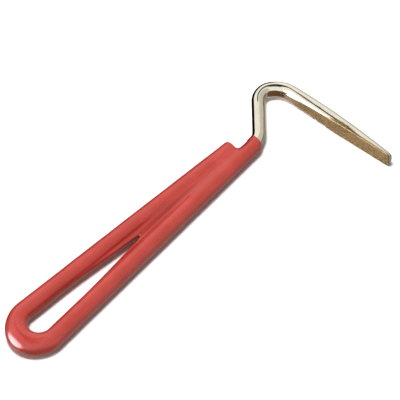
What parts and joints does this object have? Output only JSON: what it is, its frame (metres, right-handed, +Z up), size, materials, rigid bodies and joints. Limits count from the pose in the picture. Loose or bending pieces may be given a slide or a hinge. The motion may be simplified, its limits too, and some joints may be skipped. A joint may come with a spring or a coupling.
{
  "type": "hoof pick",
  "caption": "Hoof pick: a bent steel rod with a flat-pressed hook blade, its looped handle dipped in soft vinyl.",
  "frame": {"origin": "on the surface that the pick lies on, below the middle of its box", "axes": "+X along the handle from the loop towards the hook, +Y away from the side the blade points to, +Z up out of the plane that the rod is bent in"},
  "size_m": [0.188, 0.0682, 0.01],
  "materials": {
    "nickel_plate": "bright nickel plate on steel, satin and brownish on the pressed blade face",
    "weld_steel": "as-welded steel",
    "red_vinyl": "soft glossy dipped vinyl"
  },
  "bodies": {
    "root": {"pick_rod": "nickel_plate", "weld_bead_top": "weld_steel", "weld_bead_bottom": "weld_steel", "vinyl_grip": "red_vinyl"}
  },
  "joints": []
}
